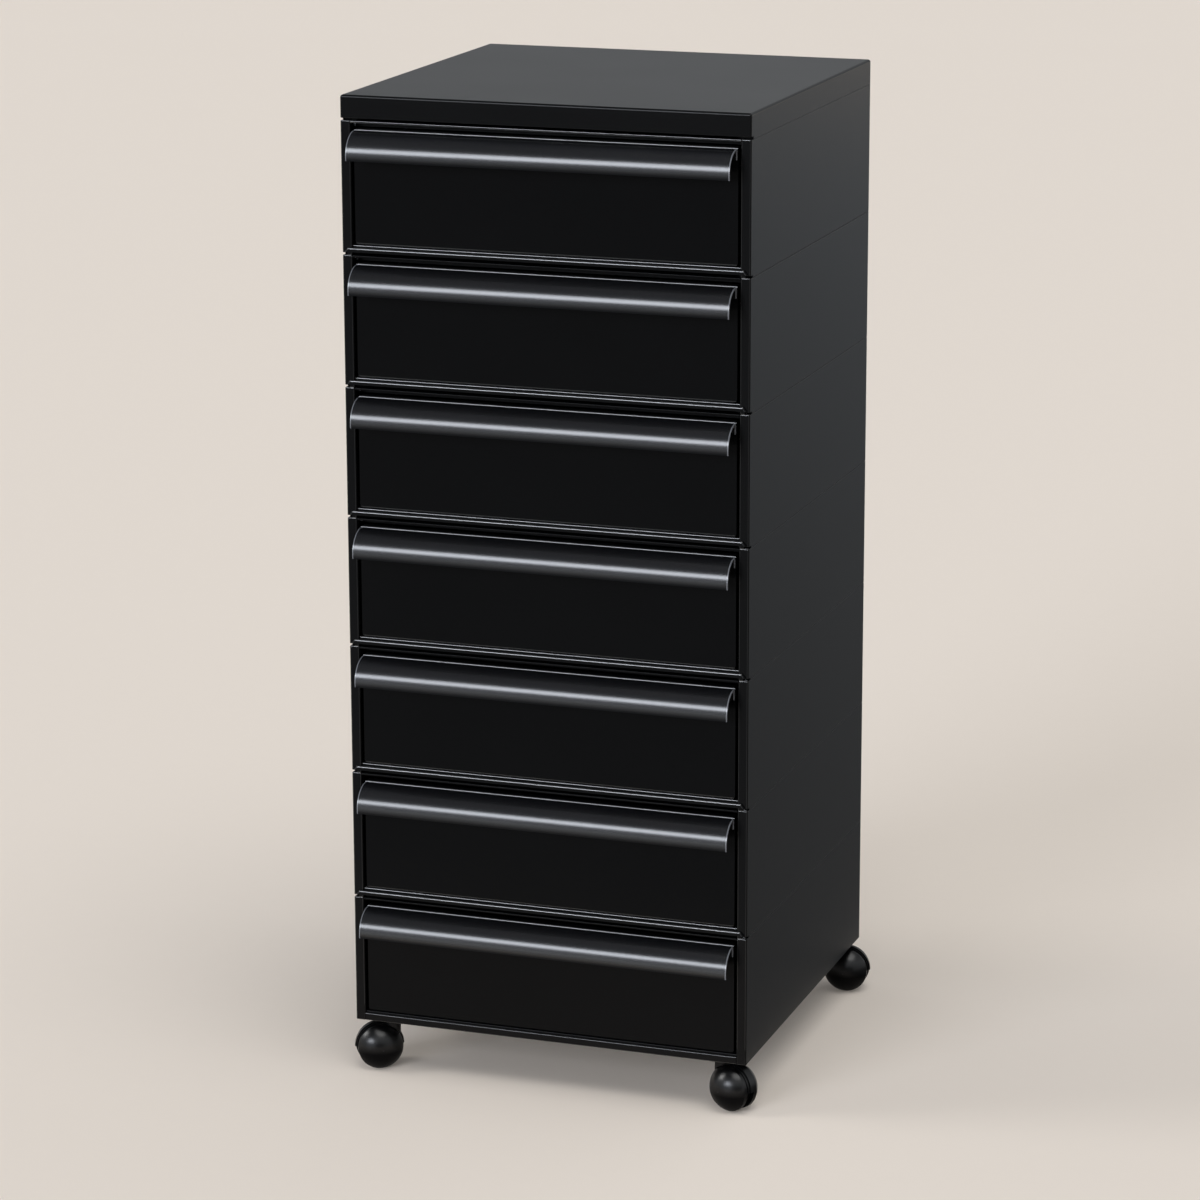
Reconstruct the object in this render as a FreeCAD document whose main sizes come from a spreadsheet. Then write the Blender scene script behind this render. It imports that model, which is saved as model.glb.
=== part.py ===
import FreeCAD, Part
import math
import os
import re

import Sketcher

# Microfiche cabinet: seven stacked drawer cases under a lid, on four twin-wheel casters.
# The origin is on the floor under the middle of the whole cabinet, +Z is up and the drawers open to -Y.
# A case and what it holds are drawn from the plane of its front flanges backwards and from its underside up.

case_count = 7

# Driving sizes in millimetres
sizes = {
    # Casing
    "casing_width": 484,
    "casing_depth": 476,
    "case_pitch": 153,
    "floor_gap": 62,
    "case_sheet": 1.2,
    "corner_radius": 1.6,
    "seam_radius": 0.8,
    "front_flange": 12,
    "flange_return": 10,
    "side_rim": 16,
    "back_rim": 10,
    "notch_width": 6,
    "notch_depth": 8,
    "notch_height": 3,
    # Inner floor, ledge under the drawer front and the rail over its top
    "pan_level": 11.5,
    "ledge_step": 2.5,
    "ledge_setback": 3,
    "lip_reach": 3,
    "lip_foot": 4,
    "lip_end_gap": 3,
    "lip_slope": 4,
    "lip_corner_radius": 3,
    "lip_radius": 1.8,
    "base_return": 16,
    "rail_hem": 9,
    "rail_depth": 18,
    "rail_height": 8,
    # Lid
    "lid_height": 29,
    "lid_radius": 3,
    "lid_skirt_gap": 2.75,
    "lid_hem": 10,
    "lid_edge_radius": 1,
    # Stacking bolts and nuts
    "bolt_inset": 25,
    "bolt_radius": 3,
    "bolt_play": 0.3,
    "bolt_length": 10,
    "bolt_head_radius": 5.77,
    "bolt_head_height": 4,
    "nut_height": 5,
    "thread_play": 0.05,
    "access_radius": 8,
    # Drawer front and tray
    "front_recess": 2,
    "front_sheet": 1.2,
    "front_top_gap": 9,
    "front_foot_gap": 1,
    "front_side_gap": 3.5,
    "front_bend": 2,
    "front_top_return": 10,
    "front_foot_return": 6,
    "front_top_radius": 3,
    "front_foot_radius": 4.5,
    "tray_sheet": 1,
    "tray_bend": 1.5,
    "tray_wall": 100,
    "tray_hem": 8,
    "tray_back_gap": 15,
    # Lane dividers
    "divider_sheet": 0.8,
    "divider_height": 90,
    "divider_foot": 12,
    "divider_hem": 6,
    "divider_play": 0.2,
    # Handle
    "handle_sheet": 1.5,
    "handle_reach": 27,
    "handle_radius": 26.5,
    "handle_drop": 1.5,
    "handle_flange": 12.5,
    "handle_end_gap": 1,
    # Slides
    "slide_offset": 165,
    "slide_front": 12,
    "slide_length": 450,
    "slide_half": 20,
    "slide_height": 10,
    "slide_outer_sheet": 1.2,
    "slide_outer_lip": 6,
    "slide_member_sheet": 1,
    "slide_play": 0.4,
    "slide_neck_half": 12,
    # Casters
    "front_stem_inset": 26,
    "front_stem_side": 35,
    "rear_stem_inset": 20,
    "rear_stem_side": 26,
    "caster_trail": 15.5,
    "plate_margin": 22,
    "plate_sheet": 2.5,
    "stem_radius": 4,
    "stem_foot": 38.5,
    "stem_end_play": 0.5,
    "collar_radius": 7.5,
    "rivet_radius": 6.5,
    "rivet_height": 2,
    "running_play": 0.05,
    "wheel_radius": 27,
    "wheel_half_span": 27,
    "crown_radius": 30,
    "wheel_play": 0.3,
    "hood_play": 0.7,
    "hood_rise": 1,
    "hood_lower_radius": 22,
    "hood_half": 5,
    "ridge_rise": 1.5,
    "ridge_half": 2,
    "neck_radius": 10.5,
    "axle_radius": 4,
    "axle_end": 20,
    "axle_end_play": 0.5,
    # How far every cut runs past what it cuts
    "overrun": 1,
}

# Angles in degrees: the handle's curl past level and the directions in which the casters trail
angles = {
    "handle_curl_angle": 10,
    "front_right_angle": -25,
    "front_left_angle": -148,
    "rear_right_angle": 5,
    "rear_left_angle": 180,
}

# Places that follow from the sizes
places = {
    "casing_half": "casing_width / 2",
    "inner_half": "casing_half - case_sheet",
    "inner_back": "casing_depth - case_sheet",
    "flange_edge": "casing_half - front_flange",
    "rear_reach": "wheel_radius + caster_trail * sin(rear_right_angle) - rear_stem_inset",
    "front_line": "(handle_reach - rear_reach - casing_depth) / 2",
    "lid_level": "floor_gap + case_pitch * {}".format(case_count),
    "pan_under": "pan_level - case_sheet",
    "ledge_level": "pan_level - ledge_step",
    "ledge_under": "ledge_level - case_sheet",
    "ledge_back": "ledge_setback + case_sheet",
    "lip_half": "casing_half - lip_end_gap",
    "bolt_side": "inner_half - side_rim / 2",
    "bolt_back": "casing_depth - bolt_inset",
    "front_half": "flange_edge - front_side_gap",
    "front_back": "front_recess + front_sheet",
    "front_top": "case_pitch - front_top_gap",
    "front_foot": "pan_level + front_foot_gap",
    "tray_under": "pan_level + slide_height",
    "tray_floor": "tray_under + tray_sheet",
    "tray_rim": "tray_floor + tray_wall",
    "tray_back": "inner_back - tray_back_gap",
    "tray_inner_half": "front_half - tray_sheet",
    "lane_width": "(2 * tray_inner_half - 2 * divider_sheet) / 3",
    "handle_top": "front_top - handle_drop",
    "roll_centre": "handle_radius - handle_reach",
    "roll_level": "handle_top - handle_radius",
    "roll_inner": "handle_radius - handle_sheet",
    "middle_foot": "slide_outer_sheet + slide_play",
    "middle_half": "slide_half - slide_outer_sheet - slide_play",
    "runner_foot": "middle_foot + slide_member_sheet + slide_play",
    "runner_half": "middle_half - slide_member_sheet - slide_play",
    "middle_height": "runner_foot + 2 * slide_member_sheet + slide_play - middle_foot",
    "middle_lip": "middle_half - slide_neck_half - slide_play",
    "outer_height": "middle_foot + middle_height + slide_play + slide_outer_sheet",
    "plate_level": "floor_gap + case_sheet",
    "neck_top": "floor_gap - wheel_play",
    "hood_radius": "wheel_radius + hood_rise",
    "ridge_radius": "hood_radius + ridge_rise",
    "hood_cut_radius": "wheel_radius + hood_play",
    "wheel_inner": "hood_half + wheel_play",
    "crown_centre": "wheel_half_span - crown_radius",
    "shoulder": "crown_centre + sqrt(crown_radius * crown_radius - wheel_radius * wheel_radius)",
}

functions = ("sin", "cos", "sqrt")
tolerance = 1e-5

document = FreeCAD.newDocument("microfiche_cabinet")
size_sheet = document.addObject("Spreadsheet::Sheet", "sizes")
place_sheet = document.addObject("Spreadsheet::Sheet", "places")
pieces = []
cuts = []


# Full sheet names in a formula of sizes and places
def bound(formula):
    def full_name(match):
        name = match.group(0)
        if name in functions:
            return name
        sheet = "places." if name in places else "sizes."
        return sheet + name
    return re.sub("[a-z][a-z_]*", full_name, formula)


def value(formula):
    return float(size_sheet.evalExpression(bound(formula)))


def fill_sheet(sheet, cells):
    for row, (name, content) in enumerate(cells.items(), start=1):
        sheet.set("A{}".format(row), name)
        sheet.set("B{}".format(row), content)
        sheet.setAlias("B{}".format(row), name)
    document.recompute()


fill_sheet(size_sheet, {name: str(number) for name, number in {**sizes, **angles}.items()})
fill_sheet(place_sheet, {name: "=" + bound(formula) for name, formula in places.items()})


# Bodies, sketches and features

def datum(body, role):
    return [item for item in body.Origin.OriginFeatures if item.Role == role][0]


def new_piece(label):
    body = document.addObject("PartDesign::Body", label)
    body.Label = label
    body.AllowCompound = True
    pieces.append(body)
    return body


def place(body, x, y, z, turn="0"):
    rotation = FreeCAD.Rotation(FreeCAD.Vector(0, 0, 1), value(turn))
    body.Placement = FreeCAD.Placement(FreeCAD.Vector(), rotation)
    body.setExpression("Placement.Base.x", bound(x))
    body.setExpression("Placement.Base.y", bound(y))
    body.setExpression("Placement.Base.z", bound(z))


# The centre of an arc of less than half a turn between two points, on the left of its way or on the right
def arc_centre(start, end, radius, turns_left):
    chord = end - start
    across = FreeCAD.Vector(-chord.y, chord.x, 0).normalize()
    height = math.sqrt(max(radius ** 2 - (chord.Length / 2) ** 2, 0))
    return (start + end) / 2 + across * (height if turns_left else -height)


def arc_between(start, end, radius, turns_left):
    centre = arc_centre(start, end, radius, turns_left)
    first, last = (start, end) if turns_left else (end, start)
    first_angle = math.atan2(first.y - centre.y, first.x - centre.x)
    last_angle = math.atan2(last.y - centre.y, last.x - centre.x)
    if last_angle < first_angle:
        last_angle += 2 * math.pi
    circle = Part.Circle(centre, FreeCAD.Vector(0, 0, 1), radius)
    return Part.ArcOfCircle(circle, first_angle, last_angle)


# One closed loop in a sketch. A corner is (x, y), or (x, y, radius) where it is rounded, and
# ("left", radius) or ("right", radius) makes the edge between two corners an arc that turns that way.
def draw_loop(sketch, corners, rules):
    bends = {}
    points = []
    for corner in corners:
        if corner[0] in ("left", "right"):
            bends[len(points) - 1] = corner
        else:
            points.append(corner)
    count = len(points)
    spots = [FreeCAD.Vector(value(point[0]), value(point[1]), 0) for point in points]
    arrivals = list(spots)
    departures = list(spots)
    for index, point in enumerate(points):
        if len(point) == 3:
            back = (spots[index - 1] - spots[index]).normalize()
            ahead = (spots[(index + 1) % count] - spots[index]).normalize()
            trim = value(point[2]) / math.tan(back.getAngle(ahead) / 2)
            arrivals[index] = spots[index] + back * trim
            departures[index] = spots[index] + ahead * trim
    # Edges between the corners, each with the numbers of its first and last point along the loop
    edges = []
    for index in range(count):
        start = departures[index]
        end = arrivals[(index + 1) % count]
        if index in bends:
            side, radius = bends[index]
            element = sketch.addGeometry(arc_between(start, end, value(radius), side == "left"), False)
            rules.append((Sketcher.Constraint("Radius", element, value(radius)), radius))
            edges.append((element, 1, 2) if side == "left" else (element, 2, 1))
        else:
            element = sketch.addGeometry(Part.LineSegment(start, end), False)
            edges.append((element, 1, 2))
    for index, point in enumerate(points):
        before, _, before_end = edges[index - 1]
        after, after_start, _ = edges[index]
        if len(point) == 2:
            rules.append((Sketcher.Constraint("Coincident", before, before_end, after, after_start), None))
            pin_point(rules, after, after_start, point)
            continue
        corner = sketch.addGeometry(Part.Point(spots[index]), True)
        pin_point(rules, corner, 1, point)
        inward = spots[index] - arrivals[index]
        outward = departures[index] - spots[index]
        turns_left = inward.cross(outward).z > 0
        radius = value(point[2])
        curve = arc_between(arrivals[index], departures[index], radius, turns_left)
        element = sketch.addGeometry(curve, False)
        first, last = (1, 2) if turns_left else (2, 1)
        rules.append((Sketcher.Constraint("PointOnObject", corner, 1, before), None))
        rules.append((Sketcher.Constraint("PointOnObject", corner, 1, after), None))
        rules.append((Sketcher.Constraint("Tangent", before, before_end, element, first), None))
        rules.append((Sketcher.Constraint("Tangent", element, last, after, after_start), None))
        rules.append((Sketcher.Constraint("Radius", element, radius), point[2]))


def pin_point(rules, element, point, formulas):
    for kind, formula in zip(("DistanceX", "DistanceY"), formulas):
        rules.append((Sketcher.Constraint(kind, -1, 1, element, point, value(formula)), formula))


def draw_circle(sketch, circle, rules):
    x, y, radius = circle
    centre = FreeCAD.Vector(value(x), value(y), 0)
    element = sketch.addGeometry(Part.Circle(centre, FreeCAD.Vector(0, 0, 1), value(radius)), False)
    pin_point(rules, element, 3, (x, y))
    rules.append((Sketcher.Constraint("Radius", element, value(radius)), radius))


# A sketch across the named axis at a distance along it, with loops and circles
def new_sketch(body, axis, start, loops, circles=()):
    sketch = body.newObject("Sketcher::SketchObject", body.Name + "_outline")
    plane = {"X": "YZ_Plane", "Y": "XZ_Plane", "Z": "XY_Plane"}[axis]
    sketch.AttachmentSupport = [(datum(body, plane), "")]
    sketch.MapMode = "FlatFace"
    offset = "-({})".format(start) if axis == "Y" else start
    sketch.setExpression("AttachmentOffset.Base.z", bound(offset))
    rules = []
    for corners in loops:
        draw_loop(sketch, corners, rules)
    for circle in circles:
        draw_circle(sketch, circle, rules)
    numbers = sketch.addConstraint([rule for rule, _ in rules])
    for number, (_, formula) in zip(numbers, rules):
        if formula is not None:
            sketch.setExpression("Constraints[{}]".format(number), bound(formula))
    return sketch


# Material added from a sketch along its axis, towards the axis's positive end
def pad(body, axis, start, length, loops, circles=()):
    feature = body.newObject("PartDesign::Pad", body.Name + "_pad")
    feature.Profile = new_sketch(body, axis, start, loops, circles)
    feature.setExpression("Length", bound(length))
    feature.Reversed = axis == "Y"
    return feature


# Material taken away in the same way
def pocket(body, axis, start, length, loops, circles=()):
    feature = body.newObject("PartDesign::Pocket", body.Name + "_pocket")
    feature.Profile = new_sketch(body, axis, start, loops, circles)
    feature.setExpression("Length", bound(length))
    feature.Reversed = axis != "Y"
    cuts.append(feature)
    return feature


def revolve(body, corners):
    feature = body.newObject("PartDesign::Revolution", body.Name + "_revolution")
    feature.Profile = new_sketch(body, "Z", "0", [corners])
    feature.ReferenceAxis = (feature.Profile[0], ["V_Axis"])
    feature.Angle = 360
    return feature


# Rounds the edges of the body's last feature for which the test holds
def round_edges(body, radius, test):
    document.recompute()
    base = body.Tip
    names = [
        "Edge{}".format(number)
        for number, edge in enumerate(base.Shape.Edges, start=1)
        if test(edge.BoundBox)
    ]
    feature = body.newObject("PartDesign::Fillet", body.Name + "_fillet")
    feature.Base = (base, names)
    feature.setExpression("Radius", bound(radius))
    return feature


def near(first, second):
    return abs(first - second) < tolerance


def repeat_up(body, originals):
    pattern = body.newObject("PartDesign::LinearPattern", body.Name + "_pattern")
    pattern.Originals = originals
    pattern.Direction = (datum(body, "Z_Axis"), [""])
    pattern.setExpression("Length", bound("case_pitch * {}".format(case_count - 1)))
    pattern.Occurrences = case_count
    body.Tip = pattern


# Outline helpers

def box(x_low, x_high, y_low, y_high):
    return [(x_low, y_low), (x_high, y_low), (x_high, y_high), (x_low, y_high)]


# The other half of an outline that is drawn for the right side only
def flipped(corners):
    return [("-({})".format(corner[0]),) + tuple(corner[1:]) for corner in reversed(corners)]


def both_sides(corners):
    return [corners, flipped(corners)]


def case_foot(number):
    return "floor_gap + case_pitch * {}".format(case_count - number)


# Drawer case: walls with rounded corners and front flanges, rims, inner floor, ledge and hemmed front rail

def new_case(number):
    body = new_piece("case_{}".format(number))
    stands_on_case = number < case_count
    if stands_on_case:
        front_lip(body)
        case_walls(body)
    else:
        case_walls(body)
        base_rail(body)
    case_pan(body)
    case_rims(body, stands_on_case)
    if stands_on_case:
        case_notches(body)
    place(body, "0", "front_line", case_foot(number))


# Lip with a rounded top edge and sloping ends, folded back under itself
def front_lip(body):
    half = [
        ("lip_half", "lip_foot"),
        ("lip_half - lip_slope", "ledge_level", "lip_corner_radius"),
    ]
    pad(body, "Y", "-lip_reach", "lip_reach", [half + flipped(half)])
    front = value("-lip_reach")
    foot = value("lip_foot")

    def on_front(bounds):
        return near(bounds.YMin, front) and near(bounds.YMax, front) and not near(bounds.ZMax, foot)

    round_edges(body, "lip_radius", on_front)
    step = box("-flange_edge", "flange_edge", "lip_foot", "ledge_level")
    pad(body, "Y", "0", "ledge_back", [step])
    inside = box(
        "case_sheet - lip_reach", "ledge_back + overrun", "lip_foot + case_sheet", "ledge_under"
    )
    end = "(lip_half - lip_slope - case_sheet)"
    pocket(body, "X", "-" + end, "2 * " + end, [inside])


def base_rail(body):
    profile = [
        ("0", "0", "case_sheet"),
        ("base_return", "0"),
        ("base_return", "case_sheet"),
        ("case_sheet", "case_sheet"),
        ("case_sheet", "ledge_under"),
        ("ledge_back", "ledge_under"),
        ("ledge_back", "ledge_level"),
        ("0", "ledge_level", "case_sheet"),
    ]
    pad(body, "X", "-flange_edge", "2 * flange_edge", [profile])


def case_walls(body):
    half = [
        ("flange_edge", "flange_return"),
        ("flange_edge", "0", "corner_radius"),
        ("casing_half", "0", "corner_radius"),
        ("casing_half", "casing_depth", "corner_radius"),
    ]
    inner = [
        ("inner_half", "inner_back"),
        ("inner_half", "case_sheet"),
        ("flange_edge + case_sheet", "case_sheet"),
        ("flange_edge + case_sheet", "flange_return"),
    ]
    pad(body, "Z", "0", "case_pitch", [half + flipped(half) + flipped(inner) + inner])
    side = value("casing_half")
    levels = (0, value("case_pitch"))

    def on_seam(bounds):
        at_side = near(bounds.XMin, side) and near(bounds.XMax, side)
        return at_side and any(near(bounds.ZMin, level) and near(bounds.ZMax, level) for level in levels)

    round_edges(body, "seam_radius", on_seam)


def case_pan(body):
    floor = [
        ("ledge_setback", "pan_level", "case_sheet"),
        ("ledge_setback", "ledge_under"),
        ("ledge_back", "ledge_under"),
        ("ledge_back", "pan_under"),
        ("inner_back", "pan_under"),
        ("inner_back", "pan_level"),
    ]
    pad(body, "X", "-inner_half", "2 * inner_half", [floor])
    hem_under = "case_pitch - 2 * case_sheet"
    rail = [
        ("0", hem_under, "seam_radius"),
        ("rail_hem", hem_under),
        ("rail_hem", "case_pitch - case_sheet"),
        ("rail_depth - case_sheet", "case_pitch - case_sheet"),
        ("rail_depth - case_sheet", "case_pitch - rail_height"),
        ("rail_depth", "case_pitch - rail_height"),
        ("rail_depth", "case_pitch"),
        ("0", "case_pitch", "seam_radius"),
    ]
    pad(body, "X", "-flange_edge", "2 * flange_edge", [rail])


# In-turned rims at the sides and the back, above and below
def rim_outline():
    half = [
        ("inner_half - side_rim", "inner_back - back_rim"),
        ("inner_half - side_rim", "flange_return"),
        ("inner_half", "flange_return"),
        ("inner_half", "inner_back"),
    ]
    return half + flipped(half)


def bolt_circles(radius):
    return [
        (side, depth, radius)
        for side in ("bolt_side", "-bolt_side")
        for depth in ("bolt_inset", "bolt_back")
    ]


def case_rims(body, stands_on_case):
    pad(body, "Z", "0", "case_sheet", [rim_outline()])
    pad(body, "Z", "case_pitch - case_sheet", "case_sheet", [rim_outline()])
    hole = bolt_circles("bolt_radius + bolt_play")
    pocket(body, "Z", "case_pitch - case_sheet - overrun", "case_sheet + 2 * overrun", [], hole)
    if stands_on_case:
        pocket(body, "Z", "-overrun", "case_sheet + 2 * overrun", [], hole)
        access = bolt_circles("access_radius")
        pocket(body, "Z", "pan_under - overrun", "case_sheet + 2 * overrun", [], access)


def case_notches(body):
    notch = box("casing_half - notch_width", "casing_half + overrun", "-overrun", "notch_depth")
    pocket(body, "Z", "-overrun", "notch_height + overrun", both_sides(notch))


# Lid: a folded cover whose skirt stops short of the top case, with a hem behind the skirt

def new_lid():
    body = new_piece("top_cover")
    half = [
        ("casing_half", "0", "corner_radius"),
        ("casing_half", "casing_depth", "corner_radius"),
    ]
    pad(body, "Z", "0", "lid_height", [half + flipped(half)])
    top = value("lid_height")
    round_edges(body, "lid_radius", lambda bounds: near(bounds.ZMin, top) and near(bounds.ZMax, top))
    inside = box("-inner_half", "inner_half", "case_sheet", "inner_back")
    pocket(body, "Z", "-overrun", "lid_height - case_sheet + overrun", [inside])
    gap = box("-overrun", "notch_depth", "-overrun", "lid_skirt_gap")
    pocket(body, "X", "-(casing_half + overrun)", "2 * (casing_half + overrun)", [gap])
    hem = box("case_sheet", "lid_hem", "lid_skirt_gap", "lid_skirt_gap + case_sheet")
    pad(body, "X", "-inner_half", "2 * inner_half", [hem])
    skirt = value("lid_skirt_gap")

    def on_skirt(bounds):
        at_foot = near(bounds.ZMin, skirt) and near(bounds.ZMax, skirt)
        return at_foot and near(bounds.YMin, 0) and near(bounds.YMax, 0)

    round_edges(body, "lid_edge_radius", on_skirt)
    pad(body, "Z", "0", "case_sheet", [rim_outline()])
    hole = bolt_circles("bolt_radius + bolt_play")
    pocket(body, "Z", "-overrun", "case_sheet + 2 * overrun", [], hole)
    place(body, "0", "front_line", "lid_level")


# Bolts and nuts through the two rims at every seam

def hexagon(x, y, radius):
    return [
        ("{} + {} * cos({})".format(x, radius, turn), "{} + {} * sin({})".format(y, radius, turn))
        for turn in range(0, 360, 60)
    ]


def new_fasteners():
    spots = [(x, y) for x, y, _ in bolt_circles("bolt_radius")]
    bolts = new_piece("stacking_bolts")
    heads = [hexagon(x, y, "bolt_head_radius") for x, y in spots]
    head = pad(bolts, "Z", "case_sheet", "bolt_head_height", heads)
    foot = "case_sheet - bolt_length"
    shank = pad(bolts, "Z", foot, "bolt_length", [], bolt_circles("bolt_radius"))
    repeat_up(bolts, [head, shank])
    place(bolts, "0", "front_line", case_foot(case_count - 1))
    nuts = new_piece("stacking_nuts")
    bores = bolt_circles("bolt_radius + thread_play")
    nut = pad(nuts, "Z", "-(case_sheet + nut_height)", "nut_height", heads, bores)
    repeat_up(nuts, [nut])
    place(nuts, "0", "front_line", case_foot(case_count - 1))


# Drawer: a front with returns at its top and foot and rounded corners, and a tray behind it

def new_drawer(number):
    body = new_piece("drawer_{}".format(number))
    profile = [
        ("front_recess + front_foot_return", "front_foot"),
        ("front_recess + front_foot_return", "front_foot + front_sheet"),
        ("front_back", "front_foot + front_sheet"),
        ("front_back", "front_top - front_sheet", "front_bend - front_sheet"),
        ("front_recess + front_top_return", "front_top - front_sheet"),
        ("front_recess + front_top_return", "front_top"),
        ("front_recess", "front_top", "front_bend"),
        ("front_recess", "front_foot", "front_bend"),
    ]
    pad(body, "X", "-front_half", "2 * front_half", [profile])
    top = corner_waste("front_top", "+", "front_top_radius")
    foot = corner_waste("front_foot", "-", "front_foot_radius")
    depth = "front_top_return + 2 * overrun"
    pocket(body, "Y", "front_recess - overrun", depth, both_sides(top) + both_sides(foot))
    drawer_tray(body)
    place(body, "0", "front_line", case_foot(number))


# What a rounded corner of the front loses, as a strip round the corner's outside
def corner_waste(level, outward, radius):
    inward = "-" if outward == "+" else "+"
    return [
        ("front_half + overrun", "{} {} {}".format(level, inward, radius)),
        ("front_half + overrun", "{} {} overrun".format(level, outward)),
        ("front_half - {} - overrun".format(radius), "{} {} overrun".format(level, outward)),
        ("front_half - {} - overrun".format(radius), level),
        ("front_half", level, radius),
        ("front_half", "{} {} {} {} overrun".format(level, inward, radius, inward)),
        ("front_half + overrun", "{} {} {} {} overrun".format(level, inward, radius, inward)),
    ]


def drawer_tray(body):
    hem_half = "tray_inner_half - tray_sheet"
    section = [
        ("front_half", "tray_under", "tray_bend"),
        ("front_half", "tray_rim", "tray_sheet"),
        (hem_half, "tray_rim"),
        (hem_half, "tray_rim - tray_hem"),
        ("tray_inner_half", "tray_rim - tray_hem"),
        ("tray_inner_half", "tray_floor"),
    ]
    pad(body, "Y", "front_back", "tray_back - front_back", [section + flipped(section)])
    half = [("front_half", "tray_rim"), ("front_half", "tray_under", "tray_bend")]
    pad(body, "Y", "tray_back - tray_sheet", "tray_sheet", [half + flipped(half)])


# Two upright lane dividers, each with a foot on the tray's floor and a folded top edge

def new_dividers(number):
    body = new_piece("dividers_{}".format(number))
    near_face = "lane_width / 2"
    far_face = near_face + " + divider_sheet"
    top = "tray_floor + divider_height"
    section = [
        (near_face, "tray_floor"),
        (near_face + " + divider_foot", "tray_floor"),
        (near_face + " + divider_foot", "tray_floor + divider_sheet"),
        (far_face, "tray_floor + divider_sheet"),
        (far_face, top + " - divider_hem"),
        (far_face + " + divider_sheet", top + " - divider_hem"),
        (far_face + " + divider_sheet", top, "divider_sheet / 2"),
        (near_face, top, "divider_sheet / 2"),
    ]
    start = "front_back + divider_play"
    length = "tray_back - tray_sheet - front_back - 2 * divider_play"
    pad(body, "Y", start, length, both_sides(section))
    place(body, "0", "front_line", case_foot(number))


# Handle: a flange on the drawer front, a bend and a wide roll that curls back under a little

def new_handle(number):
    body = new_piece("handle_{}".format(number))
    flange_foot = "handle_top - handle_flange"
    flange_front = "front_recess - handle_sheet"
    profile = [
        ("front_recess", flange_foot),
        ("front_recess", "handle_top", "handle_sheet"),
        ("roll_centre", "handle_top"),
        ("left", "handle_radius"),
        ("roll_centre - handle_radius", "roll_level"),
        ("left", "handle_radius"),
        roll_end("handle_radius"),
        roll_end("roll_inner"),
        ("right", "roll_inner"),
        ("roll_centre - roll_inner", "roll_level"),
        ("right", "roll_inner"),
        ("roll_centre", "handle_top - handle_sheet"),
        (flange_front, "handle_top - handle_sheet"),
        (flange_front, flange_foot),
    ]
    half = "(front_half - handle_end_gap)"
    pad(body, "X", "-" + half, "2 * " + half, [profile])
    place(body, "0", "front_line", case_foot(number))


def roll_end(radius):
    return (
        "roll_centre - {} * cos(handle_curl_angle)".format(radius),
        "roll_level - {} * sin(handle_curl_angle)".format(radius),
    )


# Telescopic slides under the tray: a channel on the inner floor, a channel in it and a runner in that

def channel(half, foot, height, lip, sheet):
    right = [
        (half, "0"),
        (half, height),
        ("{} - {}".format(half, lip), height),
        ("{} - {}".format(half, lip), "{} - {}".format(height, sheet)),
        ("{} - {}".format(half, sheet), "{} - {}".format(height, sheet)),
        ("{} - {}".format(half, sheet), sheet),
    ]
    return [(x, "pan_level + {} + {}".format(foot, z)) for x, z in right + flipped(right)]


def runner():
    sheet = "slide_member_sheet"
    neck = "slide_neck_half"
    right = [
        (neck + " - " + sheet, "slide_height - " + sheet),
        (neck + " - " + sheet, "runner_foot"),
        ("runner_half", "runner_foot"),
        ("runner_half", "runner_foot + " + sheet),
        (neck, "runner_foot + " + sheet),
        (neck, "slide_height"),
    ]
    return [(x, "pan_level + " + z) for x, z in right + flipped(right)]


def moved(corners, distance):
    return [("{} + {}".format(distance, corner[0]),) + tuple(corner[1:]) for corner in corners]


def slide_pair(label, section):
    body = new_piece(label)
    sections = [moved(section, "slide_offset"), moved(section, "-slide_offset")]
    feature = pad(body, "Y", "slide_front", "slide_length", sections)
    return body, feature


def new_slides():
    outer = channel("slide_half", "0", "outer_height", "slide_outer_lip", "slide_outer_sheet")
    body, feature = slide_pair("slide_outer_members", outer)
    repeat_up(body, [feature])
    place(body, "0", "front_line", case_foot(case_count))
    middle = channel("middle_half", "middle_foot", "middle_height", "middle_lip", "slide_member_sheet")
    for number in range(1, case_count + 1):
        body, _ = slide_pair("slide_middle_{}".format(number), middle)
        place(body, "0", "front_line", case_foot(number))
        body, _ = slide_pair("slide_inner_{}".format(number), runner())
        place(body, "0", "front_line", case_foot(number))


# Casters: corner plates, riveted stems, hoods that swivel on them and two wheels on each hood

casters = {
    "front_right": ("casing_half - front_stem_side", "front_stem_inset", "front_right_angle"),
    "front_left": ("front_stem_side - casing_half", "front_stem_inset", "front_left_angle"),
    "rear_right": ("casing_half - rear_stem_side", "casing_depth - rear_stem_inset", "rear_right_angle"),
    "rear_left": ("rear_stem_side - casing_half", "casing_depth - rear_stem_inset", "rear_left_angle"),
}


def new_plates():
    body = new_piece("caster_plates")
    front = box(
        "casing_half - front_stem_side - plate_margin", "inner_half",
        "flange_return", "front_stem_inset + plate_margin"
    )
    rear = box(
        "casing_half - rear_stem_side - plate_margin", "inner_half",
        "casing_depth - rear_stem_inset - plate_margin", "inner_back"
    )
    holes = [(x, y, "stem_radius") for x, y, _ in casters.values()]
    pad(body, "Z", "0", "plate_sheet", both_sides(front) + both_sides(rear), holes)
    place(body, "0", "front_line", "plate_level")


def new_stems():
    body = new_piece("caster_stems")
    shanks = [(x, y, "stem_radius") for x, y, _ in casters.values()]
    collars = [(x, y, "collar_radius") for x, y, _ in casters.values()]
    rivets = [(x, y, "rivet_radius") for x, y, _ in casters.values()]
    plate_top = "plate_level + plate_sheet"
    pad(body, "Z", "stem_foot", plate_top + " - stem_foot", [], shanks)
    pad(body, "Z", "floor_gap", "plate_level - floor_gap", [], collars)
    pad(body, "Z", plate_top, "rivet_height", [], rivets)
    place(body, "0", "front_line", "0")


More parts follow.
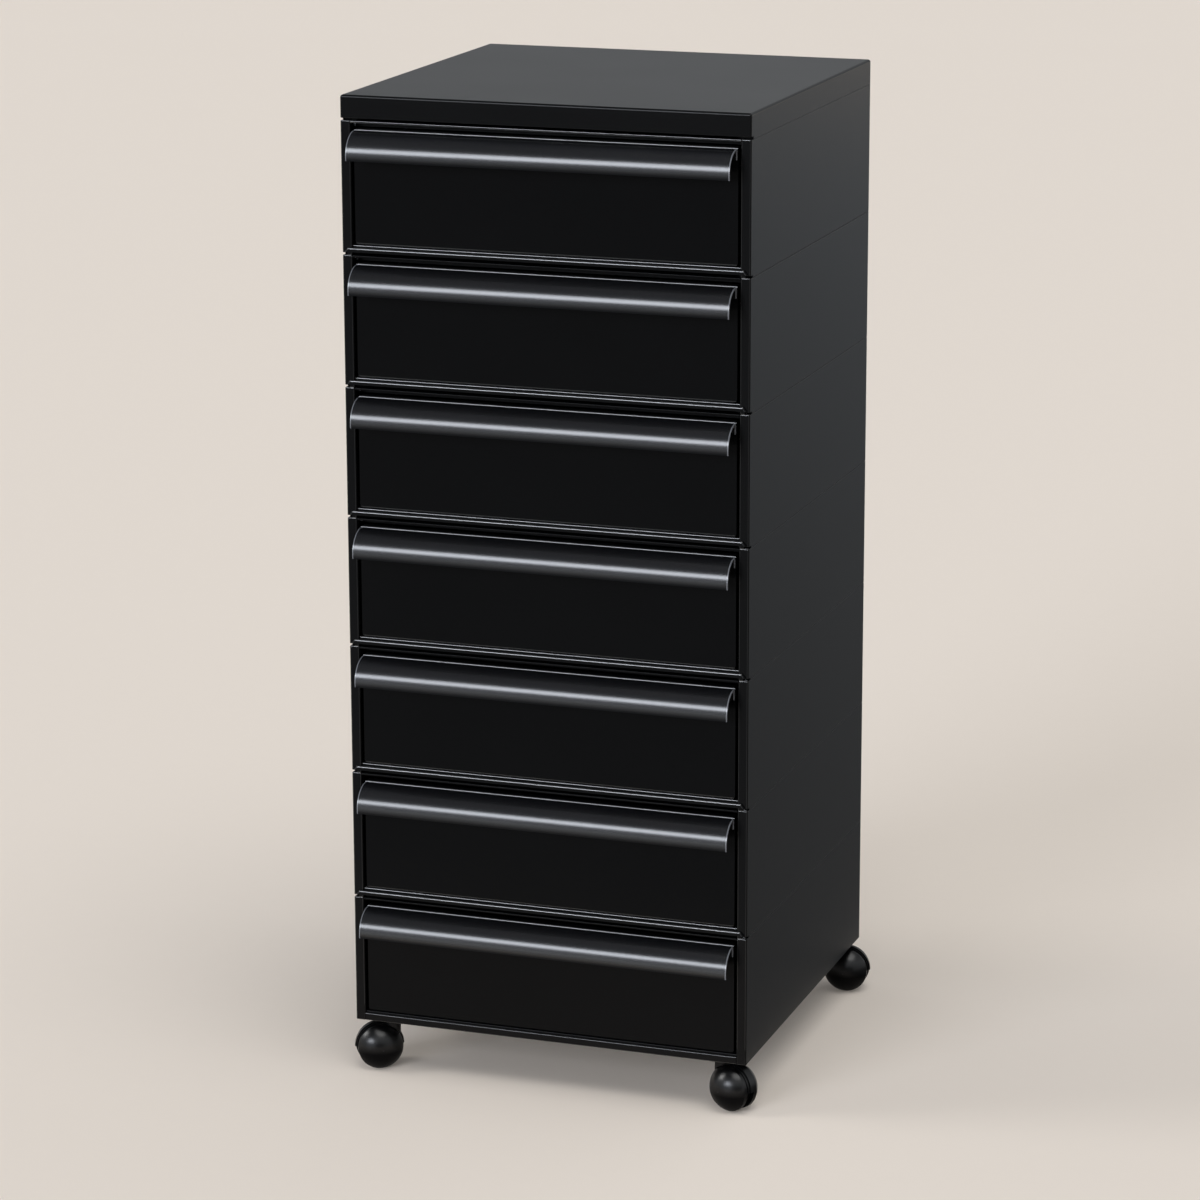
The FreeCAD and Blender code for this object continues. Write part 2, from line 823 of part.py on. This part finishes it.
# Hood, drawn with its stem upright at the origin and its wheels trailing towards +X
def new_hood(corner):
    body = new_piece("caster_hood_" + corner)
    pad(body, "Z", "wheel_radius", "neck_top - wheel_radius", [], [("0", "0", "neck_radius")])
    wheel_space = [("caster_trail", "wheel_radius", "hood_cut_radius")]
    reach = "neck_radius + overrun - hood_half"
    pocket(body, "Y", "hood_half", reach, [], wheel_space)
    pocket(body, "Y", "-(neck_radius + overrun)", reach, [], wheel_space)
    pad(body, "Y", "-hood_half", "2 * hood_half", [hood_web("hood_radius")])
    pad(body, "Y", "-ridge_half", "2 * ridge_half", [hood_web("ridge_radius")])
    pad(body, "Y", "-axle_end", "2 * axle_end", [], [("caster_trail", "wheel_radius", "axle_radius")])
    bore_foot = "stem_foot - stem_end_play"
    bore = "neck_top - ({}) + overrun".format(bore_foot)
    pocket(body, "Z", bore_foot, bore, [], [("0", "0", "stem_radius + running_play")])
    x, y, turn = casters[corner]
    place(body, x, "front_line + " + y, "0", turn)


# Outline of the hood's web or ridge: the upper half reaches out over the wheels
def hood_web(radius):
    lower = "hood_lower_radius"
    return [
        ("caster_trail + " + radius, "wheel_radius"),
        ("left", radius),
        ("caster_trail", "wheel_radius + " + radius),
        ("left", radius),
        ("caster_trail - " + radius, "wheel_radius"),
        ("caster_trail - " + lower, "wheel_radius"),
        ("left", lower),
        ("caster_trail", "wheel_radius - " + lower),
        ("left", lower),
        ("caster_trail + " + lower, "wheel_radius"),
    ]


# Wheel, drawn round its own axle along +Y: a narrow tread and a domed outer side
def new_wheel(corner, side, extra_turn):
    body = new_piece("caster_wheel_{}_{}".format(corner, side))
    bore = "axle_radius + running_play"
    bore_end = "axle_end + axle_end_play"
    revolve(body, [
        (bore, "wheel_inner"),
        ("wheel_radius", "wheel_inner"),
        ("wheel_radius", "shoulder"),
        ("left", "crown_radius"),
        ("0", "wheel_half_span"),
        ("0", bore_end),
        (bore, bore_end),
    ])
    x, y, turn = casters[corner]
    place(
        body,
        "{} + caster_trail * cos({})".format(x, turn),
        "front_line + {} + caster_trail * sin({})".format(y, turn),
        "wheel_radius",
        "{} + {}".format(turn, extra_turn)
    )


def build():
    for number in range(1, case_count + 1):
        new_case(number)
        new_drawer(number)
        new_dividers(number)
        new_handle(number)
    new_lid()
    new_fasteners()
    new_slides()
    new_plates()
    new_stems()
    for corner in casters:
        new_hood(corner)
        new_wheel(corner, "near", 0)
        new_wheel(corner, "far", 180)
    document.recompute()


# No failed object, no empty or broken shape and no cut that takes nothing away
def check():
    for item in document.Objects:
        if "Invalid" in item.State or "Error" in item.State:
            raise RuntimeError("{} failed: {}".format(item.Label, item.State))
    for body in pieces:
        if body.Shape.isNull() or not body.Shape.isValid():
            raise RuntimeError("{} has no valid shape".format(body.Label))
    for cut in cuts:
        if cut.BaseFeature.Shape.Volume - cut.Shape.Volume < tolerance:
            raise RuntimeError("{} cuts nothing".format(cut.Label))


def write_pieces():
    os.makedirs("parts", exist_ok=True)
    for body in pieces:
        body.Shape.exportStep(os.path.join("parts", body.Label + ".step"))
        print(body.Label, len(body.Shape.Solids), round(body.Shape.Volume))


build()
check()
write_pieces()
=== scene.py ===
import math

import bpy
from mathutils import Matrix, Vector


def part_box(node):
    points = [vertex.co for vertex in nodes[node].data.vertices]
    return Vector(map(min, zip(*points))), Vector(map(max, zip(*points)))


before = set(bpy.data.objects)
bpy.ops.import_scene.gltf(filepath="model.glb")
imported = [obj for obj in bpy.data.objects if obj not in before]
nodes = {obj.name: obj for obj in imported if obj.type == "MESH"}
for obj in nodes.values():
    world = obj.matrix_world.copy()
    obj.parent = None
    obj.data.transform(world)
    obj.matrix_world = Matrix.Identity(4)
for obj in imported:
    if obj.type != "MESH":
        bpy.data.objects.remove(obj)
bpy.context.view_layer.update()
caseCount = 7
lidLow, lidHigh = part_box("top_cover")
bodyMiddle = (lidLow.y + lidHigh.y) / 2
print("frame loaded:", len(nodes), "nodes")


# Directions from the cabinet: azimuth 0 is straight in front, and a positive one is on the right

def direction(azimuth, elevation):
    return Vector((
        math.sin(azimuth) * math.cos(elevation),
        -math.cos(azimuth) * math.cos(elevation),
        math.sin(elevation),
    ))


# Camera

camera = dict(
    azimuth=19.28, elevation=14.62, roll=-0.17,
    place=(1.621, -4.684, 1.830),       # from the casing's middle on the floor
    lens=128.97, sensor=36, farthest=100,
)


def makeCamera():
    azimuth, elevation, roll = (math.radians(camera[key]) for key in ("azimuth", "elevation", "roll"))
    back = direction(azimuth, elevation)
    right = Vector((math.cos(azimuth), math.sin(azimuth), 0))
    up = back.cross(right)
    rightRolled = right * math.cos(roll) + up * math.sin(roll)
    upRolled = up * math.cos(roll) - right * math.sin(roll)
    turn = Matrix((rightRolled, upRolled, back)).transposed().to_4x4()
    data = bpy.data.cameras.new("camera")
    data.lens = camera["lens"]
    data.sensor_width = camera["sensor"]
    data.clip_end = camera["farthest"]
    eye = bpy.data.objects.new("camera", data)
    bpy.context.collection.objects.link(eye)
    place = Vector(camera["place"]) + Vector((0, bodyMiddle, 0))
    eye.matrix_world = Matrix.Translation(place) @ turn
    bpy.context.scene.camera = eye


makeCamera()
print("camera set")


# Shader maths: a socket with operators, and one method for any other node

class Shade:
    def __init__(self, tree, socket=None):
        self.tree = tree
        self.socket = socket

    def node(self, kind, settings=None, inputs=None, out=0):
        made = self.tree.nodes.new("ShaderNode" + kind)
        for name, setting in (settings or {}).items():
            setattr(made, name, setting)
        for key, value in (inputs or {}).items():
            if isinstance(value, Shade):
                self.tree.links.new(value.socket, made.inputs[key])
            else:
                made.inputs[key].default_value = value
        return Shade(self.tree, made.outputs[out] if made.outputs else None)

    def maths(self, operation, *values):
        return self.node("Math", dict(operation=operation), dict(enumerate(values)))

    def __add__(self, other):
        return self.maths("ADD", self, other)

    def __radd__(self, other):
        return self.maths("ADD", other, self)

    def __sub__(self, other):
        return self.maths("SUBTRACT", self, other)

    def __rsub__(self, other):
        return self.maths("SUBTRACT", other, self)

    def __mul__(self, other):
        return self.maths("MULTIPLY", self, other)

    def __rmul__(self, other):
        return self.maths("MULTIPLY", other, self)

    def __abs__(self):
        return self.maths("ABSOLUTE", self)

    def clamped(self, low, high):
        return self.node("Clamp", None, {"Value": self, "Min": low, "Max": high})

    def split(self):
        parts = self.node("SeparateXYZ", None, {"Vector": self}).socket.node
        return [Shade(self.tree, output) for output in parts.outputs]

    # A colour between two. Its sockets share their names with other types', so they go by number.
    def mixed(self, first, second):
        return self.node("Mix", dict(data_type="RGBA"), {0: self, 6: first, 7: second}, 2)


def newMaterial(name):
    material = bpy.data.materials.new(name)
    material.use_nodes = True
    material.node_tree.nodes.clear()
    return material, Shade(material.node_tree)


def finishMaterial(material, shade, inputs):
    surface = shade.node("BsdfPrincipled", None, inputs)
    shade.node("OutputMaterial", None, {"Surface": surface})
    return material


def facing(shade):
    return shade.node("TexCoord", None, None, "Normal").split()


def noise(shade, place, scale, detail):
    return shade.node("TexNoise", None, {"Vector": place, "Scale": scale, "Detail": detail})


def bump(shade, height):
    return shade.node("Bump", None, {"Strength": 1.0, "Distance": 1.0, "Height": height})


def rgb(red, green, blue):
    return (red, green, blue, 1)


def dress(names, material):
    for name in names:
        slots = nodes[name].data.materials
        slots.clear()
        slots.append(material)


smoothest = 0.05        # least roughness of any finish


# Lengthwise edges in front, which cloths have burnished, get a gloss coat that paints highlight lines on
# them:
# 0 on the flats, 1 where one turns into the next. The rail under each lip gets none, as painted shade from
# the lip above, except the one under the lid, and neither does the floor's edge in the lowest case. Its
# base rail is duller than the lips.

casing = dict(
    foot=0.062, pitch=0.153, top=lidLow.z,
    rail=0.003, baseRail=0.0095, base=0.019, flangeEdge=0.230,
)
edgeWearAndSheen = dict(rise=30.0, sideFade=3.0, baseDulling=0.6)


def edgeShine(shade):
    along, back, up = facing(shade)
    flat = shade.maths("MAXIMUM", abs(back), abs(up))
    turning = ((1.0 - flat) * edgeWearAndSheen["rise"]).clamped(0.0, 1.0)
    turning = turning * (1.0 - abs(along) * edgeWearAndSheen["sideFade"]).clamped(0.0, 1.0)
    across, _, height = shade.node("TexCoord", None, None, "Object").split()
    level = shade.maths("MODULO", height - casing["foot"], casing["pitch"])
    # The rail under a lip gets no coat: painted shade from the lip above it
    onRail = shade.maths("GREATER_THAN", level, casing["pitch"] - casing["rail"])
    onRail = onRail * shade.maths("LESS_THAN", abs(across), casing["flangeEdge"])
    onRail = onRail * shade.maths("LESS_THAN", height, casing["top"] - casing["pitch"])
    onBase = shade.maths("LESS_THAN", height, casing["foot"] + casing["base"])
    onBaseFloor = onBase * shade.maths("GREATER_THAN", level, casing["baseRail"])
    return turning * (1.0 - onRail) * (1.0 - onBase * edgeWearAndSheen["baseDulling"]) * (1.0 - onBaseFloor)


# A roll whose gloss coat covers its upper side and front, a painted sheen, and not its underside, which
# stays dark as painted shade

rollSheen = dict(below=0.15, rise=4.0)


def rollShine(shade):
    _, _, up = facing(shade)
    return ((up + rollSheen["below"]) * rollSheen["rise"]).clamped(0.0, 1.0)


# Powder coat: a fine orange peel, faint clouding, a little dust-dulled gloss and pale ends that are a
# painted highlight

def powderCoat(name, coat):
    material, shade = newMaterial(name)
    place = shade.node("TexCoord", None, None, "Object")
    cloud = noise(shade, place, coat["cloudScale"], coat["cloudDetail"])
    peel = noise(shade, place, coat["peelScale"], coat["peelDetail"])
    grain = noise(shade, place, coat["grainScale"], coat["grainDetail"])
    colour = cloud.mixed(rgb(*coat["dark"]), rgb(*coat["light"]))
    across, _, _ = place.split()
    # Pale ends: a painted highlight on the handles' end edges
    colour = shade.maths("GREATER_THAN", abs(across), coat["glintFrom"]).mixed(colour, rgb(*coat["glintColour"]))
    upward = facing(shade)[2].clamped(0.0, 1.0)
    roughness = coat["roughness"] + (cloud - 0.5) * coat["cloudGloss"] + (grain - 0.5) * coat["grainGloss"]
    roughness = roughness + upward * coat["dust"]
    height = peel * coat["peelDepth"] + grain * coat["grainDepth"]
    return finishMaterial(material, shade, {
        "Base Color": colour,
        "Roughness": roughness.clamped(smoothest, 1.0),
        "Specular IOR Level": coat["specular"],
        "Coat Weight": coat["shine"](shade) * coat["shineWeight"],
        "Coat Roughness": coat["shineRoughness"],
        "Coat IOR": coat["shineIndex"],
        "Normal": bump(shade, height),
    })


# The ends beyond this distance from the middle are painted pale, a painted highlight on their edges. Only
# the handles' ends reach it.

casePaint = dict(
    dark=(0.0016, 0.0017, 0.0020), light=(0.0024, 0.0025, 0.0028),
    roughness=0.25, dust=0.07, specular=0.14,
    cloudScale=6.0, cloudDetail=3.0, cloudGloss=0.03,
    peelScale=900.0, peelDetail=2.0, peelDepth=0.000003,
    grainScale=3500.0, grainDetail=2.0, grainDepth=0.0000006, grainGloss=0.08,
    shine=edgeShine, shineWeight=1.0, shineRoughness=0.30, shineIndex=2.7,
    glintFrom=9.0, glintColour=(0.05, 0.05, 0.05),
)
lidPaint = dict(casePaint, shineWeight=0.06)
frontPaint = dict(casePaint, roughness=0.24, specular=0.10, shineIndex=2.2)
handlePaint = dict(
    casePaint, dark=(0.0030, 0.0033, 0.0040), light=(0.0042, 0.0046, 0.0056),
    roughness=0.34, specular=0.06, peelDepth=0.0000008, grainGloss=0.04,
    shine=rollShine, shineRoughness=0.23, shineIndex=1.8,
    glintFrom=0.2243, glintColour=(0.13, 0.135, 0.15),
)
dividerPaint = dict(casePaint, dark=(0.05, 0.05, 0.052), light=(0.065, 0.065, 0.068), roughness=0.5)


# Zinc plate: streaks along the rolled strip and a crystalline mottle

def zincPlate(name, plate):
    material, shade = newMaterial(name)
    place = shade.node("TexCoord", None, None, "Object")
    stretched = shade.node("Mapping", None, {"Vector": place, "Scale": plate["streaks"]})
    streak = noise(shade, stretched, plate["streakScale"], plate["streakDetail"])
    crystals = {"Vector": place, "Scale": plate["mottleScale"]}
    mottle = shade.node("TexVoronoi", dict(feature="F1"), crystals, "Color")
    patch = shade.node("SeparateColor", None, {"Color": mottle}, "Red")
    share = streak * plate["streakShare"] + patch * plate["mottleShare"]
    roughness = plate["roughness"] + (streak - 0.5) * plate["streakGloss"]
    return finishMaterial(material, shade, {
        "Base Color": share.mixed(rgb(*plate["dark"]), rgb(*plate["light"])),
        "Metallic": 1.0,
        "Roughness": roughness.clamped(smoothest, 1.0),
        "Normal": bump(shade, streak * plate["streakDepth"]),
    })


slideZinc = dict(
    dark=(0.42, 0.43, 0.45), light=(0.62, 0.63, 0.66), roughness=0.34,
    streaks=(900.0, 12.0, 900.0), streakScale=1.0, streakDetail=4.0, streakShare=0.6,
    streakGloss=0.18, streakDepth=0.000004,
    mottleScale=260.0, mottleShare=0.4,
)
fastenerZinc = dict(slideZinc, roughness=0.42, streaks=(400.0, 400.0, 400.0), mottleScale=700.0)


# Moulded nylon: a fine spark-eroded grain, and a gloss coat strongest between the sides and the crown, a
# painted sheen that leaves the lower part dark as painted shade

def nylon(name, finish):
    material, shade = newMaterial(name)
    place = shade.node("TexCoord", None, None, "Object")
    grain = noise(shade, place, finish["grainScale"], finish["grainDetail"])
    cloud = noise(shade, place, finish["cloudScale"], finish["cloudDetail"])
    roughness = finish["roughness"] + (grain - 0.5) * finish["grainGloss"]
    upward = facing(shade)[2]
    # Painted sheen: coat on the upper faces and none low down, so the lower part stays dark as painted
    # shade
    paintedSheen = shade.maths("MINIMUM", upward + finish["sheenBelow"], finish["sheenAbove"] - upward)
    paintedSheen = (paintedSheen * finish["sheenRise"]).clamped(0.0, 1.0)
    return finishMaterial(material, shade, {
        "Base Color": cloud.mixed(rgb(*finish["dark"]), rgb(*finish["light"])),
        "Roughness": roughness.clamped(smoothest, 1.0),
        "Specular IOR Level": finish["specular"],
        "Coat Weight": paintedSheen * finish["shineWeight"],
        "Coat Roughness": finish["shineRoughness"],
        "Coat IOR": finish["shineIndex"],
        "Normal": bump(shade, grain * finish["grainDepth"]),
    })


wheelNylon = dict(
    dark=(0.0014, 0.0014, 0.0016), light=(0.0022, 0.0022, 0.0025), roughness=0.34, specular=0.05,
    sheenBelow=0.15, sheenAbove=1.1, sheenRise=1.4,
    shineWeight=1.0, shineRoughness=0.28, shineIndex=1.65,
    grainScale=1800.0, grainDetail=3.0, grainDepth=0.000004, grainGloss=0.08,
    cloudScale=40.0, cloudDetail=2.0,
)
hoodNylon = dict(wheelNylon, roughness=0.42)


def numbered(kind):
    return ["{}_{}".format(kind, number) for number in range(1, caseCount + 1)]


def starting(start):
    return [name for name in nodes if name.startswith(start)]


def dressNodes():
    dress(numbered("case"), powderCoat("casePaint", casePaint))
    dress(["top_cover"], powderCoat("lidPaint", lidPaint))
    dress(numbered("drawer"), powderCoat("frontPaint", frontPaint))
    dress(numbered("handle"), powderCoat("handlePaint", handlePaint))
    dress(numbered("dividers"), powderCoat("dividerPaint", dividerPaint))
    dress(starting("slide_"), zincPlate("slideZinc", slideZinc))
    small = ["stacking_bolts", "stacking_nuts", "caster_plates", "caster_stems"]
    dress(small, zincPlate("fastenerZinc", fastenerZinc))
    dress(starting("caster_wheel"), nylon("wheelNylon", wheelNylon))
    dress(starting("caster_hood"), nylon("hoodNylon", hoodNylon))


dressNodes()
print("materials set")


# Studio floor. Only the camera and the gloss see its faint glow, so it casts no light on the cabinet's
# flats.

floor = dict(
    size=80.0, colour=(0.755, 0.682, 0.610), fibreDip=0.99, fibreScale=40.0, fibreDetail=4.0,
    roughness=0.9, specular=0.1, glow=0.10,
)


def makeFloor():
    bpy.ops.object.select_all(action="DESELECT")
    bpy.ops.mesh.primitive_plane_add(size=floor["size"], location=(0, 0, 0))
    ground = bpy.context.object
    ground.name = "studioFloor"
    material, shade = newMaterial("floorPaper")
    place = shade.node("TexCoord", None, None, "Object")
    fibre = noise(shade, place, floor["fibreScale"], floor["fibreDetail"])
    dipped = [share * floor["fibreDip"] for share in floor["colour"]]
    colour = fibre.mixed(rgb(*dipped), rgb(*floor["colour"]))
    seen = shade.node("LightPath", None, None, "Is Camera Ray")
    seen = seen + shade.node("LightPath", None, None, "Is Glossy Ray")
    seen = (seen + shade.node("LightPath", None, None, "Is Transmission Ray")).clamped(0.0, 1.0)
    finishMaterial(material, shade, {
        "Base Color": colour,
        "Roughness": floor["roughness"],
        "Specular IOR Level": floor["specular"],
        "Emission Color": seen.mixed(rgb(0, 0, 0), colour),
        "Emission Strength": floor["glow"],
    })
    ground.data.materials.append(material)


# A pale sky with a dark band that runs from the front, left of the middle, over the top. The fronts and
# the handles mirror it. It ends where the sky's back part begins.

sky = dict(
    pale=(0.45, 0.465, 0.48), dark=(0.04, 0.045, 0.055),
    bandMiddle=-0.32, bandHalf=0.19, bandEdge=0.12, bandBack=0.72, bandTurn=0.15, strength=1.0,
)


def makeSky():
    world = bpy.data.worlds.new("studioSky")
    bpy.context.scene.world = world
    world.use_nodes = True
    world.node_tree.nodes.clear()
    shade = Shade(world.node_tree)
    across, back, _ = shade.node("TexCoord", None, None, "Generated").split()
    outside = (abs(across - sky["bandMiddle"]) - sky["bandHalf"]) * (1.0 / sky["bandEdge"])
    behind = (back - sky["bandBack"]) * (1.0 / sky["bandTurn"])
    clear = shade.maths("MAXIMUM", outside.clamped(0.0, 1.0), behind.clamped(0.0, 1.0))
    colour = clear.mixed(rgb(*sky["dark"]), rgb(*sky["pale"]))
    light = shade.node("Background", None, {"Color": colour, "Strength": sky["strength"]})
    shade.node("OutputWorld", None, {"Surface": light})


# Three soft lamps: width is the angle that a lamp fills, and the distance doesn't change its light

lamps = dict(
    keyLamp=dict(azimuth=-19, elevation=17, width=30, strength=1.75, colour=(0.88, 0.92, 1.0)),
    leftLamp=dict(azimuth=-72, elevation=37, width=20, strength=0.60, colour=(1.0, 0.99, 0.97)),
    fillLamp=dict(azimuth=45, elevation=70, width=42, strength=1.01, colour=(1.0, 0.99, 0.97)),
)
lampDistance = 5


def makeLamp(name, lamp):
    data = bpy.data.lights.new(name, "SUN")
    data.angle = math.radians(lamp["width"])
    data.energy = lamp["strength"]
    data.color = lamp["colour"]
    sun = bpy.data.objects.new(name, data)
    bpy.context.collection.objects.link(sun)
    towards = direction(math.radians(lamp["azimuth"]), math.radians(lamp["elevation"]))
    sun.location = towards * lampDistance
    sun.rotation_euler = (-towards).to_track_quat("-Z", "Y").to_euler()


# Cards that only the gloss sees: two lie on the floor, in front and on the right, and one stands behind
# the first. Each goes from one grey at its near edge or foot to another at its far edge or top.

cards = dict(
    frontCard=dict(
        place=(0, -7.8), turn=180, size=(16.0, 14.0), lying=True,
        near=(0.50, 0.50, 0.50), far=(0.02, 0.02, 0.02),
    ),
    frontScreen=dict(
        place=(0, -14.8), turn=0, size=(30.0, 5.0), lying=False,
        near=(0.02, 0.02, 0.02), far=(0.05, 0.055, 0.065),
    ),
    rightCard=dict(
        place=(3.28, 4.2), turn=0, size=(6.0, 9.0), lying=True,
        near=(0.12, 0.12, 0.12), far=(0.40, 0.43, 0.46),
    ),
)
cardLift = 0.002        # above the floor


def makeCard(name, card):
    width, length = card["size"]
    bpy.ops.object.select_all(action="DESELECT")
    bpy.ops.mesh.primitive_plane_add(size=1.0, location=(0, 0, 0))
    cloth = bpy.context.object
    cloth.name = name
    for corner in cloth.data.vertices:
        across, along, _ = corner.co
        if card["lying"]:
            corner.co = (across * width, along * length, cardLift)
        else:
            corner.co = (across * width, 0, (along + 0.5) * length)
    cloth.location = (*card["place"], 0)
    cloth.rotation_euler = (0, 0, math.radians(card["turn"]))
    cloth.visible_camera = False
    cloth.visible_diffuse = False
    cloth.visible_shadow = False
    material, shade = newMaterial(name + "Cloth")
    _, along, up = shade.node("TexCoord", None, None, "Object").split()
    share = (along * (1.0 / length) + 0.5) if card["lying"] else up * (1.0 / length)
    colour = share.clamped(0.0, 1.0).mixed(rgb(*card["near"]), rgb(*card["far"]))
    glow = shade.node("Emission", None, {"Color": colour, "Strength": 1.0})
    shade.node("OutputMaterial", None, {"Surface": glow})
    cloth.data.materials.append(material)


makeFloor()
makeSky()
for name, lamp in lamps.items():
    makeLamp(name, lamp)
for name, card in cards.items():
    makeCard(name, card)
print("studio set")

bpy.context.scene.view_settings.view_transform = "Standard"
